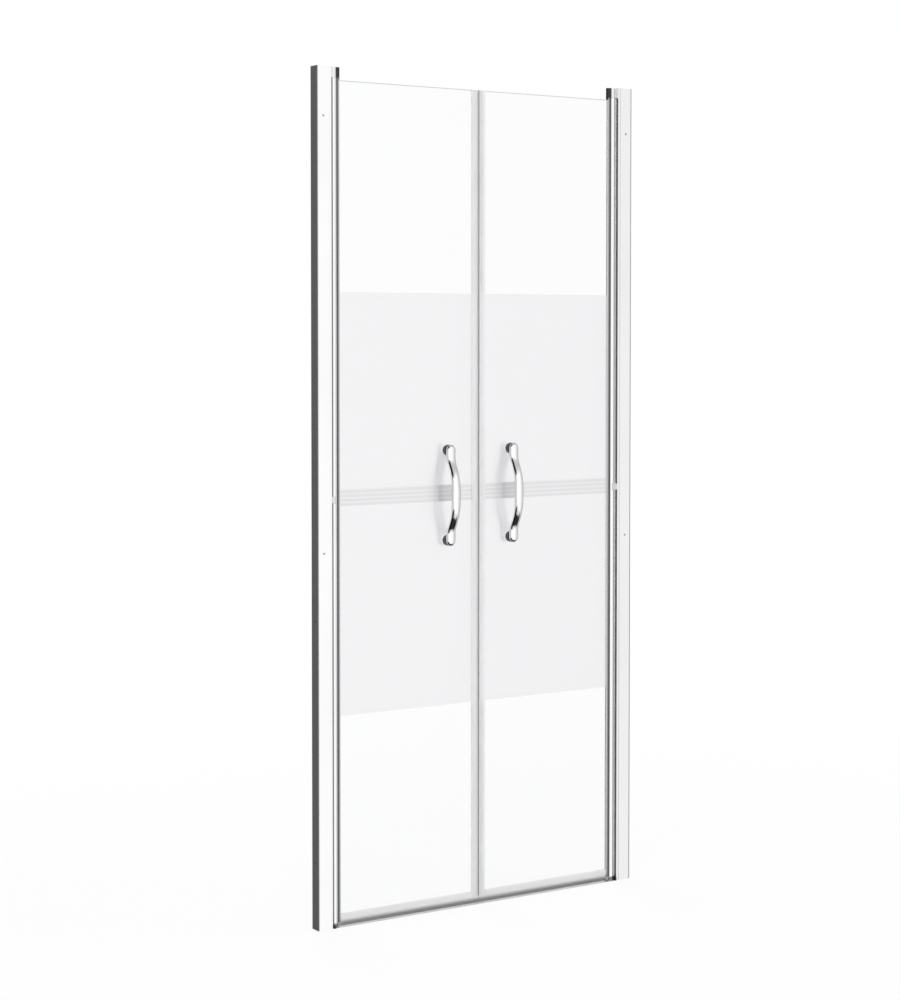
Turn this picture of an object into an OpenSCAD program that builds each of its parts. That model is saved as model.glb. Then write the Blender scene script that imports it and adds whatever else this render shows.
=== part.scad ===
// Double leaf swing door for a shower niche, with two glass leaves that turn both ways.
// X runs along the door, the outside faces -Y, and Z is up from the shower tray.
// Every jamb and leaf piece is drawn for the left side, with x measured from the left wall.

/* [Opening] */
// Width from wall to wall
door_w = 860; // [760:1:1060]
// Height of the jambs
door_h = 1900; // [1700:1:2050]

/* [Wall profile] */
// Depth of the channel on the wall, front to back
wall_depth = 28; // [26:0.5:34]
// How far its flanges stand out from the wall
wall_reach = 32; // [29:0.5:36]
// Thickness of its web against the wall
wall_web = 2; // [1.6:0.1:3]
// Thickness of its flanges
wall_flange = 1.6; // [1.2:0.1:2]
// Radius of the wall screw holes
wall_hole_r = 2.75; // [2:0.05:3.5]
// Number of wall screw holes in each jamb
wall_holes = 4; // [2:1:6]
// Height of the lowest wall screw hole, and of the highest one below the top
wall_hole_end = 150; // [80:1:250]

/* [Frame profile] */
// Play between the frame profile and the flanges
slide_play = 0.2; // [0.1:0.05:0.4]
// How far the frame profile shows past the flanges
frame_show = 5.8; // [4:0.1:10]
// Length of its section across the jamb
frame_reach = 30; // [27:0.5:32]
// Thickness of its walls
frame_wall = 1.5; // [1.2:0.1:2]
// Thickness of its end wall beside the leaf
frame_end_wall = 2.5; // [2:0.1:3.5]
// Clear width of the closed cell behind the end wall
frame_cell = 9; // [7:0.5:11]
// Distance of the fixing screws from the wall
fix_in = 16.5; // [14:0.5:19]
// Distance of the upper fixing screw below the top
fix_top = 108; // [60:0.5:300]
// Height of the lower fixing screw
fix_low = 834; // [300:0.5:880]
// Radius of the fixing screw's head
fix_head_r = 2.6; // [2.2:0.1:3.4]
// Height of the fixing screw's head
fix_head_h = 1.4; // [1:0.1:2]
// Radius of the fixing screw's shank
fix_r = 1.7; // [1.4:0.05:2]
// Length of the fixing screw under its head
fix_len = 6; // [4.5:0.1:9]
// Length of the cross recess in its head
cross_l = 2.8; // [1.8:0.1:3.4]
// Width of the cross recess
cross_w = 0.7; // [0.5:0.05:1]
// Depth of the cross recess
cross_d = 0.8; // [0.5:0.05:1]

/* [Hinge line] */
// Gap between the frame profile and the round back of the leaf profile
seam = 2.9; // [2.2:0.1:5]
// Radius of the round back of the leaf profile
barrel_r = 7.3; // [6.6:0.1:8]
// Radius of the bore along the leaf profile
bore_r = 4.5; // [3.8:0.05:5]
// Radius of the pivot pins
pin_r = 2.5; // [2:0.05:2.8]
// Radial play of the pivot pins in their bearings
pin_play = 0.05; // [0.02:0.01:0.1]
// Radial play of the plugs and bushes in the bore
plug_play = 0.05; // [0.02:0.01:0.1]
// Clearance between fixed and turning faces along the hinge line
turn_play = 0.3; // [0.2:0.05:0.6]
// Height of the top bracket
head_h = 23; // [16:0.5:26]
// Radius of the foot's bearing boss
boss_r = 5; // [4.4:0.1:6]
// Height of the foot's bearing boss
boss_h = 8; // [7.6:0.1:9.5]
// Height of the middle knuckle
knuckle_h = 15; // [10:0.5:24]
// Height of the middle knuckle's centre
knuckle_z = 950; // [910:0.5:1000]
// Half the thickness of the knuckle's arm
knuckle_arm = 2; // [1.5:0.1:2.6]
// Thickness of the knuckle's head, and how far the head reaches past the arm all round
knuckle_head = 3; // [2:0.1:4]
// Length of the pivot plugs in the bore
plug_len = 22; // [12:0.5:40]
// Length of the bushes beside the middle knuckle
bush_len = 12; // [8:0.5:24]
// How deep the top pin and the bottom pin go into their bearings
pin_in = 6.5; // [5:0.1:7]
// Width of the gap seal
lip_w = 4.4; // [2.4:0.1:6]
// Running gap between the foot's boss and the flange that turns on it
thrust_gap = 0.1; // [0.05:0.05:0.3]
// Thickness of that flange
flange_t = 1.2; // [0.8:0.1:2]

/* [Foot] */
// Length of the foot's cross bar, front to back
foot_span = 32; // [30:0.5:44]
// Gap between the cross bar and the end of the frame profile
foot_off = 0.5; // [0.2:0.1:0.8]
// Width of the cross bar
foot_w = 6; // [4.5:0.1:6.3]
// Height of the cross bar
foot_h = 6.5; // [5:0.1:7]
// Length of the bracket and foot plugs in the frame profile
insert_len = 30; // [20:0.5:40]

/* [Leaf profile] */
// Straight part of its sides past the hinge line
neck = 5.2; // [4.6:0.1:7]
// Half the thickness there
neck_t = 5.2; // [4.8:0.1:6]
// Length of the tapered jaws
jaw = 7.8; // [7:0.1:10]
// Thickness of the jaws at their tips
jaw_tip = 0.6; // [0.5:0.05:1.2]
// Depth of the glass between the jaws
glass_bite = 7; // [6:0.1:8]

/* [Glass] */
// Thickness of the glass
glass_t = 5; // [4:0.5:6]
// Thickness of the gasket beside the glass
gasket_t = 0.6; // [0.4:0.05:0.9]
// Length of the gasket's wedge past the jaws
gasket_lip = 2.2; // [1.4:0.1:4]
// Play of the soft strips on the glass
grip_play = 0.03; // [0.01:0.01:0.05]
// Distance of the glass below the top of the jambs
glass_drop = 28; // [22:0.5:34]
// Height of the glass above the tray
glass_low = 16; // [14:0.1:20]

/* [Meeting edge] */
// Gap between the two leaves
meeting_gap = 0.4; // [0.3:0.05:1]
// Width of the magnetic seal
mag_w = 18.3; // [16:0.1:24]
// Width of its hollow edge in front of the glass
mag_edge = 9; // [7:0.1:11]
// Thickness of its legs beside the glass
mag_leg = 0.8; // [0.6:0.05:1.2]
// Length of the taper at the tips of its legs
mag_taper = 0.8; // [0.4:0.1:2]
// Thickness of the magnet strip
magnet_t = 1.4; // [1:0.1:2.5]
// Skin between the magnet strip and the leaf's edge
magnet_skin = 0.5; // [0.4:0.05:0.8]

/* [Bottom seal] */
// Height of the clip on the glass
sweep_clip = 11; // [8:0.5:16]
// Thickness of the clip's legs
sweep_leg = 0.8; // [0.6:0.05:1.2]
// Half the width of the sweep's tip
sweep_tip = 0.8; // [0.5:0.05:1.2]
// Gap between the sweep and the threshold
sweep_gap = 0.4; // [0.3:0.05:1]

/* [Threshold] */
// Depth of the threshold, front to back
sill_w = 32; // [24:0.5:34]
// Height of the threshold
sill_h = 3.2; // [2.4:0.1:4]
// Height of its front and back edges
sill_edge = 1; // [0.6:0.1:1.8]
// Width of its flat top
sill_flat = 14; // [8:0.5:20]
// Gap between the threshold and the feet
sill_play = 0.2; // [0.1:0.05:0.5]

/* [Handles] */
// Height of the handles' centre
handle_z = 949; // [850:0.5:1050]
// Distance of the handles from the middle of the door
handle_in = 86.5; // [60:0.5:120]
// Distance between the two posts
post_gap = 205; // [150:1:260]
// Radius of the round ends
bulb_r = 12.8; // [12:0.1:15]
// Radius of the posts
post_r = 11.9; // [9:0.1:12]
// Length of the posts from washer to round end
post_h = 11; // [8:0.5:16]
// Half the thickness of the round ends
bulb_t = 7; // [5.5:0.1:8]
// How far the bar bows out past the posts
bow = 28; // [20:0.5:36]
// Half the bar's width at its middle
mid_w = 9.4; // [7:0.1:11]
// Half the bar's thickness at its middle
mid_t = 5; // [3.5:0.1:6]
// Half the bar's width at its necks
neck_w = 8.7; // [6:0.1:10]
// Distance of the necks from the posts
neck_at = 25; // [20:0.5:36]
// Radius of the handle studs
stud_r = 3; // [2.5:0.1:4]
// Depth of the stud's hole in a post
stud_in = 9; // [6:0.5:11]
// Radius of the handle holes in the glass
glass_hole_r = 5; // [4.6:0.1:7]
// Thickness of the washers under the posts
washer_t = 1; // [0.6:0.1:2]

/* [Hidden] */
JAMB = ["wall_profile", "frame_profile", "fixing_screws", "top_bracket", "middle_knuckle", "foot",
    "gap_seals"];
LEAF = ["leaf_profile", "top_pivot", "top_cap", "middle_pin", "middle_bushes", "bottom_pivot",
    "glazing_gaskets", "glass", "magnetic_seal", "magnet", "bottom_seal", "outer_handle",
    "inner_handle", "handle_studs", "handle_bushes"];

// Overlap of joined shapes, run of a cut past a face, and clearance of a piece in its seat
eps = 0.01;
over = 1;
seat = 0.15;
// Radius of the extruded sections' edges
edge_r = 0.6;
round_fn = 64;
fine_fn = 40;

// Places across the jamb, from the wall
frame_end = wall_reach + frame_show;
frame_half = wall_depth / 2 - wall_flange - slide_play;
cell_x1 = frame_end - frame_end_wall;
cell_x0 = cell_x1 - frame_cell;
cell_half = frame_half - frame_wall;
groove_x = frame_end - frame_end_wall / 2;
axis_x = frame_end + seam + barrel_r;
neck_x = axis_x + neck;
jaw_x = neck_x + jaw;
swing_r = barrel_r + turn_play;
round_x1 = axis_x + swing_r;
arm_half = sqrt(swing_r * swing_r - neck_t * neck_t) - turn_play;
bar_x = frame_end + foot_off;
notch_x = axis_x + knuckle_arm + turn_play;
hub_r = bore_r - plug_play;

// Half thicknesses, from the middle plane of the glass
glass_half = glass_t / 2;
slot_half = glass_half + gasket_t;
tip_half = slot_half + jaw_tip;
mag_half = glass_half + mag_leg;
sweep_half = glass_half + sweep_leg;

// Places of the glass and the meeting edge
glass_x0 = jaw_x - glass_bite;
leaf_x1 = door_w / 2 - meeting_gap / 2;
mag_x0 = leaf_x1 - mag_w;
pocket_x1 = leaf_x1 - magnet_skin;
pocket_x0 = pocket_x1 - magnet_t - seat;
glass_x1 = leaf_x1 - mag_edge - seat;
glass_z1 = door_h - glass_drop;

// Heights of the pieces on the hinge line
head_z = door_h - head_h;
leaf_z1 = head_z - turn_play;
flange_z = boss_h + thrust_gap;
leaf_z0 = flange_z + flange_t;
cap_skirt_z = foot_h + turn_play;
knuckle_z0 = knuckle_z - knuckle_h / 2;
knuckle_z1 = knuckle_z + knuckle_h / 2;

// Bottom seal, from the sweep's tip to the floor of the clip
sweep_x0 = jaw_x + gasket_lip + seat;
sweep_z0 = sill_h + sweep_gap;
floor_z1 = glass_low - grip_play;
floor_z0 = floor_z1 - 2 * sweep_leg;
curve_z = floor_z0 - sweep_leg;

// Handle
handle_x = door_w / 2 - handle_in;
face_y = glass_half + washer_t;
stud_y = face_y + stud_in - seat;
tip_z = post_gap / 2 + bulb_r;
bow_r = (pow(post_gap / 2, 2) + bow * bow) / (2 * bow);
neck_z = post_gap / 2 - neck_at;
swell_z = neck_z / 2;
bow_end = post_gap / 2 + bulb_r * 0.4;
bar_sides = 16;
bar_rings = 36;
pole_angle = 89;

module at_left() translate([-door_w / 2, 0, 0]) children();
module at_right() mirror([1, 0, 0]) at_left() children();

// Box from x0 to x1 and z0 to z1, as far to the front as to the back
module slab(x0, x1, half_y, z0, z1)
    translate([x0, -half_y, z0]) cube([x1 - x0, 2 * half_y, z1 - z0]);

// Upright rod on the hinge line
module rod(r, z0, z1) translate([axis_x, 0, z0]) cylinder(r = r, h = z1 - z0, $fn = round_fn);

// Extrusion between two heights of a section drawn from above
module rail(z0, z1) translate([0, 0, z0]) linear_extrude(height = z1 - z0) children();

// Extrusion along X of a section drawn as y and z
module run(x0, x1)
    translate([x0, 0, 0]) rotate([90, 0, 90]) linear_extrude(height = x1 - x0) children();

// Rod along Y between two depths
module cross_rod(x, z, r, y0, y1)
    translate([x, y0, z]) rotate([-90, 0, 0]) cylinder(r = r, h = y1 - y0, $fn = fine_fn);

// Rod along Y at each post of a handle, between two depths
module post_rods(r, y0, y1) for (end = [-1, 1])
    cross_rod(handle_x, handle_z + end * post_gap / 2, r, y0, y1);

// Points of an arc, and outlines closed by their own mirror image, about y = 0 and about x = 0
function arc(x, y, r, a0, a1, n = 4) =
    [for (i = [0:n]) let (a = a0 + (a1 - a0) * i / n) [x + r * cos(a), y + r * sin(a)]];
function both(side) = concat(side, [for (i = [len(side) - 1:-1:0]) [side[i].x, -side[i].y]]);
function both_x(side) = concat(side, [for (i = [len(side) - 1:-1:0]) [-side[i].x, side[i].y]]);

// Smooth rise from 0 to 1 while t goes from 0 to 1
function blend(t) = (1 - cos(180 * min(max(t, 0), 1))) / 2;

function fix_heights() = [door_h - fix_top, fix_low];

// U channel that is screwed to the wall
module wall_profile() {
    half = wall_depth / 2;
    outline = both(concat(
        [[0, half - edge_r]], arc(edge_r, half - edge_r, edge_r, 180, 90),
        arc(wall_reach - edge_r, half - edge_r, edge_r, 90, 0),
        [[wall_reach, half - wall_flange], [wall_web, half - wall_flange]]));
    pitch = (door_h - 2 * wall_hole_end) / (wall_holes - 1);
    color("silver") difference() {
        rail(0, door_h) polygon(outline);
        for (i = [0:wall_holes - 1]) translate([-over, 0, wall_hole_end + i * pitch]) rotate([0, 90, 0])
            cylinder(r = wall_hole_r, h = wall_web + 2 * over, $fn = fine_fn);
        for (z = fix_heights()) cross_rod(fix_in, z, fix_r + seat, -half - over, 0);
    }
}

// Box section that slides in the wall profile and carries the hinge line
module frame_profile() {
    open_x0 = frame_end - frame_reach;
    open_x1 = cell_x0 - frame_wall;
    color("gainsboro") difference() {
        rail(0, door_h) polygon(both(concat(
            [[open_x0, frame_half]], arc(frame_end - edge_r, frame_half - edge_r, edge_r, 90, 0))));
        slab(cell_x0, cell_x1, cell_half, -over, door_h + over);
        slab(open_x0 - over, open_x1, cell_half, -over, door_h + over);
        slab(groove_x, frame_end + over, lip_w / 2 + seat, -over, door_h + over);
        slab(cell_x1 - over, frame_end + over, arm_half + seat, head_z - seat, door_h + over);
        slab(cell_x1 - over, frame_end + over, boss_r + seat, -over, boss_h + seat);
        slab(cell_x1 - over, frame_end + over, knuckle_arm + seat, knuckle_z0 - seat, knuckle_z1 + seat);
        for (z = fix_heights()) cross_rod(fix_in, z, fix_r + seat, -frame_half - over, 0);
    }
}

// Pan head screws that lock the frame profile in the wall profile
module fixing_screws() {
    head_round = fix_head_h * 0.7;
    color("lightgray") for (z = fix_heights())
        translate([fix_in, -wall_depth / 2, z]) rotate([90, 0, 0]) difference() {
            rotate_extrude($fn = fine_fn) polygon(concat(
                [[0, -fix_len], [fix_r / 2, -fix_len], [fix_r, -fix_len + fix_r], [fix_r, 0],
                    [fix_head_r, 0]],
                arc(fix_head_r - head_round, fix_head_h - head_round, head_round, 0, 90),
                [[0, fix_head_h]]));
            for (turn = [0, 90]) rotate(turn) translate([-cross_l / 2, -cross_w / 2, fix_head_h - cross_d])
                cube([cross_l, cross_w, fix_head_h]);
        }
}

// Block at the head of the jamb, with the blind bearing of the top pin
module top_bracket() color("gainsboro") difference() {
    union() {
        slab(cell_x0 + seat, cell_x1 - seat, cell_half - seat, door_h - insert_len, door_h);
        slab(cell_x1 - seat - eps, axis_x, arm_half, head_z, door_h);
        rod(barrel_r, head_z, door_h);
    }
    rod(pin_r + pin_play, head_z - over, head_z + pin_in + over);
}

// Knuckle at half height: an arm from a head in the frame profile to a hub in the leaf profile's bore
module middle_knuckle() color("white") difference() {
    union() {
        slab(cell_x1 - seat - knuckle_head, cell_x1 - seat, knuckle_arm + knuckle_head,
            knuckle_z0 - knuckle_head, knuckle_z1 + knuckle_head);
        slab(cell_x1 - seat - eps, axis_x, knuckle_arm, knuckle_z0, knuckle_z1);
        rod(hub_r, knuckle_z0, knuckle_z1);
    }
    rod(pin_r + pin_play, knuckle_z0 - over, knuckle_z1 + over);
}

// Foot with a cross bar against the frame profile and the bearing of the bottom pin
module foot() {
    bar_half = foot_span / 2 - foot_w / 2;
    color([0.08, 0.08, 0.09]) difference() {
        union() {
            slab(cell_x0 + seat, cell_x1 - seat, cell_half - seat, 0, insert_len);
            slab(cell_x1 - seat - eps, axis_x, boss_r, 0, boss_h);
            rod(boss_r, 0, boss_h);
            slab(bar_x, bar_x + foot_w, bar_half, 0, foot_h);
            for (y = [-bar_half, bar_half]) translate([bar_x + foot_w / 2, y, 0])
                cylinder(r = foot_w / 2, h = foot_h, $fn = fine_fn);
        }
        rod(pin_r + pin_play, flange_z - pin_in - over, boss_h + over);
    }
}

// Strips in the frame profile's groove, with a lip against the round back
module gap_seals() {
    lower = [boss_h, knuckle_z0];
    upper = [knuckle_z1, head_z];
    color("gray") for (span = [lower, upper]) rail(span[0] + 2 * seat, span[1] - 2 * seat) polygon(both([
        [groove_x + seat, lip_w / 2], [frame_end, lip_w / 2],
        [axis_x - barrel_r - turn_play, lip_w / 3]]));
}

// Low water bar between the feet, cut out round the bearing bosses
module threshold() {
    x1 = door_w / 2 - bar_x - foot_w - sill_play;
    slope = (sill_w - sill_flat) / 2;
    side = concat([[sill_w / 2, 0]],
        [for (t = [0:1 / 6:1.01]) [sill_w / 2 - slope * t, sill_edge + (sill_h - sill_edge) * blend(t)]]);
    color("whitesmoke") difference() {
        run(-x1, x1) polygon(both_x(side));
        for (flip = [0, 1]) mirror([flip, 0, 0]) at_left() {
            rod(boss_r + sill_play, -over, sill_h + over);
            slab(frame_end, axis_x, boss_r + sill_play, -over, sill_h + over);
        }
    }
}

// Section of the leaf past the hinge line, closed at the tips of the jaws
module leaf_section() polygon(both([[axis_x, neck_t], [neck_x, neck_t], [jaw_x, tip_half]]));

// Extrusion with a round back on the hinge line, and jaws that grip the glass
module leaf_profile() color("whitesmoke") difference() {
    union() {
        rod(barrel_r, leaf_z0, leaf_z1);
        rail(leaf_z0, leaf_z1) leaf_section();
    }
    rod(bore_r, leaf_z0 - over, leaf_z1 + over);
    slab(glass_x0 - seat, jaw_x + over, slot_half, leaf_z0 - over, leaf_z1 + over);
    slab(axis_x - barrel_r - over, notch_x, barrel_r + over,
        knuckle_z0 - turn_play, knuckle_z1 + turn_play);
}

// Plug in the top of the bore, with the pin that turns in the top bracket
module top_pivot() color("gray") {
    rod(hub_r, leaf_z1 - plug_len, leaf_z1 - plug_play);
    rod(pin_r, leaf_z1 - plug_play - eps, head_z + pin_in);
}

// Cap over the glass and the jaws beside the top bracket
module top_cap() color([0.06, 0.06, 0.07]) {
    cap_z = leaf_z1 + seat;
    lip_x = jaw_x + gasket_lip;
    difference() {
        rail(cap_z, door_h) polygon(both([
            [axis_x, neck_t], [neck_x, neck_t], [jaw_x, tip_half], [lip_x, tip_half - jaw_tip]]));
        rod(swing_r, cap_z - over, door_h + over);
    }
    slab(round_x1, lip_x, slot_half - seat, glass_z1 + seat, cap_z + eps);
}

// Steel pin through the middle knuckle
module middle_pin() color("lightgray")
    rod(pin_r, knuckle_z0 - turn_play - bush_len, knuckle_z1 + turn_play + bush_len);

// Bushes in the bore that hold the middle pin
module middle_bushes() color("white") for (z = [knuckle_z0 - turn_play - bush_len, knuckle_z1 + turn_play])
    difference() {
        rod(hub_r, z, z + bush_len);
        rod(pin_r + pin_play, z - over, z + bush_len + over);
    }

// Plug, flange and pin at the foot of the leaf profile, with a tongue under the glass and a block
// that carries the line of the sweep on to the foot
module bottom_pivot() color([0.1, 0.1, 0.11]) {
    rod(hub_r, flange_z, leaf_z0 + plug_len);
    rod(pin_r, flange_z - pin_in, flange_z + eps);
    rod(barrel_r, flange_z, leaf_z0 - plug_play);
    rail(flange_z, leaf_z0 - plug_play) leaf_section();
    difference() {
        rail(cap_skirt_z, flange_z + eps) leaf_section();
        rod(swing_r, cap_skirt_z - over, flange_z);
    }
    slab(round_x1, sweep_x0 - seat, sweep_half, sweep_z0, cap_skirt_z + eps);
    slab(jaw_x - eps, sweep_x0 - seat, sweep_half, cap_skirt_z, flange_z);
    slab(glass_x0, jaw_x, slot_half - seat, leaf_z0 - plug_play - eps, glass_low - seat);
}

// Strips between the jaws and the glass, with a wedge past the jaws
module glazing_gaskets() {
    x0 = glass_x0 + seat;
    x1 = jaw_x + gasket_lip;
    inner = glass_half + grip_play;
    outer = slot_half - grip_play;
    color([0.2, 0.2, 0.22]) for (flip = [0, 1]) mirror([0, flip, 0]) rail(glass_low, glass_z1) polygon([
        [x0, inner], [x1, inner], [x1, (inner + outer) / 2], [jaw_x + grip_play, tip_half],
        [jaw_x + grip_play, outer], [x0, outer]]);
}

// Pane with two holes for the handles
module glass() color([0.85, 0.95, 0.95, 0.4]) difference() {
    slab(glass_x0, glass_x1, glass_half, glass_low, glass_z1);
    post_rods(glass_hole_r, -glass_t, glass_t);
}

// Soft clip on the glass edge with a hollow nose and a pocket for the magnet
module magnetic_seal() {
    clip_x = leaf_x1 - mag_edge;
    hollow_x0 = clip_x + mag_leg;
    hollow_x1 = pocket_x0 - magnet_skin;
    color([0.88, 0.9, 0.9]) difference() {
        rail(glass_low, glass_z1) polygon(both(concat(
            [[mag_x0, glass_half + mag_leg / 2], [mag_x0 + mag_taper, mag_half]],
            arc(leaf_x1 - edge_r, mag_half - edge_r, edge_r, 90, 0))));
        slab(mag_x0 - over, clip_x, glass_half + grip_play, 0, door_h);
        slab(hollow_x0, hollow_x1, glass_half, 0, door_h);
        slab(pocket_x0, pocket_x1, mag_half - magnet_skin, 0, door_h);
    }
}

// Magnet strip in the pocket of the magnetic seal
module magnet() color([0.3, 0.3, 0.32])
    slab(pocket_x0 + seat / 2, pocket_x1 - seat / 2, mag_half - magnet_skin - seat / 2,
        glass_low + seat, glass_z1 - seat);

// Side of the sweep, as a quarter of an ellipse that narrows from z1 down to z0
function sweep_side(half, tip, z0, z1) =
    [for (a = [0:15:90]) [tip + (half - tip) * cos(a), z1 - (z1 - z0) * sin(a)]];

// Clip under the glass with a hollow sweep that reaches down to the threshold
module bottom_seal() {
    clip_z = glass_low + sweep_clip;
    leg = [glass_half + grip_play, sweep_half];
    color("lightgray") {
        run(sweep_x0, leaf_x1) difference() {
            polygon(both_x(concat([[sweep_half, floor_z1]],
                sweep_side(sweep_half, sweep_tip, sweep_z0, curve_z))));
            polygon(both_x(concat([[sweep_half - sweep_leg, floor_z0]],
                sweep_side(sweep_half - sweep_leg, sweep_tip / 2, sweep_z0 + sweep_leg, curve_z))));
        }
        run(sweep_x0, mag_x0 - seat) for (flip = [0, 1]) mirror([flip, 0]) polygon([
            [leg[0], floor_z1 - eps], [leg[1], floor_z1 - eps], [leg[1], clip_z - sweep_leg],
            [(leg[0] + leg[1]) / 2, clip_z], [leg[0], clip_z]]);
    }
}

// Half width, half thickness and distance from the glass of the handle's bar, at height z from its centre
function bar_share(z) = sqrt(max(1 - pow(max(abs(z) - post_gap / 2, 0) / bulb_r, 2), 0));
function bar_w(z) = abs(z) > neck_z
    ? bar_share(z) * (neck_w + (bulb_r - neck_w) * blend((abs(z) - neck_z) / neck_at))
    : mid_w + (neck_w - mid_w) * blend(abs(z) / neck_z);
function bar_t(z) = bar_share(z)
    * (mid_t + (bulb_t - mid_t) * blend((abs(z) - swell_z) / (post_gap / 2 - swell_z)));
function bar_y(z) = post_h + bow - bow_r + sqrt(bow_r * bow_r - pow(min(abs(z), bow_end), 2));
function bar_ring(z) = [for (k = [0:bar_sides - 1]) let (a = 360 * k / bar_sides)
    [bar_w(z) * cos(a), -bar_y(z) + bar_t(z) * sin(a), z]];

// Bar of the handle, from tip to tip, as rings that crowd together at the round ends
module handle_bar() {
    heights = [for (i = [0:bar_rings]) tip_z * sin(pole_angle * (2 * i / bar_rings - 1))];
    n = bar_sides;
    faces = concat(
        [[for (k = [0:n - 1]) k]],
        [[for (k = [n - 1:-1:0]) bar_rings * n + k]],
        [for (i = [0:bar_rings - 1]) for (k = [0:n - 1]) each [
            [i * n + k, (i + 1) * n + k, i * n + (k + 1) % n],
            [i * n + (k + 1) % n, (i + 1) * n + k, (i + 1) * n + (k + 1) % n]]]);
    polyhedron(points = [for (z = heights) each bar_ring(z)], faces = faces, convexity = 4);
}

// Cast handle: a bowed bar on two posts, with a blind hole in each post for its stud
module handle() color("silver") difference() {
    union() {
        translate([handle_x, -face_y, handle_z]) handle_bar();
        post_rods(post_r, -face_y - post_h, -face_y);
    }
    post_rods(stud_r + plug_play, -face_y - stud_in, -face_y + over);
}

module outer_handle() handle();
module inner_handle() mirror([0, 1, 0]) handle();

// Studs through the glass that join the outer and the inner handle
module handle_studs() color("lightgray") post_rods(stud_r, -stud_y, stud_y);

// Flanged bushes that keep the posts and studs off the glass
module handle_bushes() color("gainsboro") for (flip = [0, 1]) mirror([0, flip, 0]) difference() {
    union() {
        post_rods(post_r, glass_half, face_y);
        post_rods(glass_hole_r - seat, seat, glass_half + eps);
    }
    post_rods(stud_r + plug_play, -over, face_y + over);
}

at_left() wall_profile();  // left_wall_profile
at_left() frame_profile();  // left_frame_profile
at_left() fixing_screws();  // left_fixing_screws
at_left() top_bracket();  // left_top_bracket
at_left() middle_knuckle();  // left_middle_knuckle
at_left() foot();  // left_foot
at_left() gap_seals();  // left_gap_seals
at_left() leaf_profile();  // left_leaf_profile
at_left() top_pivot();  // left_top_pivot
at_left() top_cap();  // left_top_cap
at_left() middle_pin();  // left_middle_pin
at_left() middle_bushes();  // left_middle_bushes
at_left() bottom_pivot();  // left_bottom_pivot
at_left() glazing_gaskets();  // left_glazing_gaskets
at_left() glass();  // left_glass
at_left() magnetic_seal();  // left_magnetic_seal
at_left() magnet();  // left_magnet
at_left() bottom_seal();  // left_bottom_seal
at_left() outer_handle();  // left_outer_handle
at_left() inner_handle();  // left_inner_handle
at_left() handle_studs();  // left_handle_studs
at_left() handle_bushes();  // left_handle_bushes
at_right() wall_profile();  // right_wall_profile
at_right() frame_profile();  // right_frame_profile
at_right() fixing_screws();  // right_fixing_screws
at_right() top_bracket();  // right_top_bracket
at_right() middle_knuckle();  // right_middle_knuckle
at_right() foot();  // right_foot
at_right() gap_seals();  // right_gap_seals
at_right() leaf_profile();  // right_leaf_profile
at_right() top_pivot();  // right_top_pivot
at_right() top_cap();  // right_top_cap
at_right() middle_pin();  // right_middle_pin
at_right() middle_bushes();  // right_middle_bushes
at_right() bottom_pivot();  // right_bottom_pivot
at_right() glazing_gaskets();  // right_glazing_gaskets
at_right() glass();  // right_glass
at_right() magnetic_seal();  // right_magnetic_seal
at_right() magnet();  // right_magnet
at_right() bottom_seal();  // right_bottom_seal
at_right() outer_handle();  // right_outer_handle
at_right() inner_handle();  // right_inner_handle
at_right() handle_studs();  // right_handle_studs
at_right() handle_bushes();  // right_handle_bushes
threshold();
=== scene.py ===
import math

import bmesh
import bpy
import numpy as np
from mathutils import Euler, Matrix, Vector


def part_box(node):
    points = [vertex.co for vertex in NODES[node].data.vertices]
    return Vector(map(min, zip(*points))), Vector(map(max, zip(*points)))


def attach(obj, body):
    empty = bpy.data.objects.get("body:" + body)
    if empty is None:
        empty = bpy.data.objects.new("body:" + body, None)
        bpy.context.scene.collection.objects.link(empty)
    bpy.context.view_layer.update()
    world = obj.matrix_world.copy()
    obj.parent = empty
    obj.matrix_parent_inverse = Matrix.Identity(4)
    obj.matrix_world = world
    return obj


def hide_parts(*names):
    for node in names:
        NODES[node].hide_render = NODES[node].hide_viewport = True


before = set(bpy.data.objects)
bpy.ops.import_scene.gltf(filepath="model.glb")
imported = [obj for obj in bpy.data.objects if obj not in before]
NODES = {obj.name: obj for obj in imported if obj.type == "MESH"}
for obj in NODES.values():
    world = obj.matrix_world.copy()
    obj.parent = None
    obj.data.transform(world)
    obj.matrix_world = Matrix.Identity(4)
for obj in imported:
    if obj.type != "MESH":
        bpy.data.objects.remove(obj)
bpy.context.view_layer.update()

bl_info = {
    "name": "Swing Shower Door",
    "version": (1, 0, 0),
    "blender": (4, 5, 0),
    "location": "View3D > Sidebar > Shower Door",
    "description": "Finishes, cast handles and a plain studio for a double leaf shower door",
    "category": "Object",
}

SIDES = ("left", "right")
MM = 0.001
SAME_PLACE = 1e-6  # Points nearer to each other than this, in metres, are one point
SHARP_ANGLE = math.radians(38)  # Faces that meet at more than this keep a sharp edge

# The handle's box gives its sizes: x across the bar, y out from the glass, z along the bar
HANDLE_LO, HANDLE_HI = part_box("left_outer_handle")
BULB_RADIUS = (HANDLE_HI.x - HANDLE_LO.x) / 2
POST_SPACING = HANDLE_HI.z - HANDLE_LO.z - 2 * BULB_RADIUS
HANDLE_DEPTH = HANDLE_HI.y - HANDLE_LO.y


def number(name, description, default, **more):
    """Number that a user may change."""
    return bpy.props.FloatProperty(name=name, description=description, default=default, **more)


def size(name, description, default):
    """Length in metres that a user may change."""
    return number(name, description, default, min=0, precision=4, unit="LENGTH")


def share(name, description, default):
    """Number from 0 to 1 that a user may change."""
    return number(name, description, default, min=0, max=1)


def angle(name, description, degrees):
    """Angle that a user may change."""
    return number(name, description, math.radians(degrees), unit="ROTATION", subtype="ANGLE")


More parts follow.
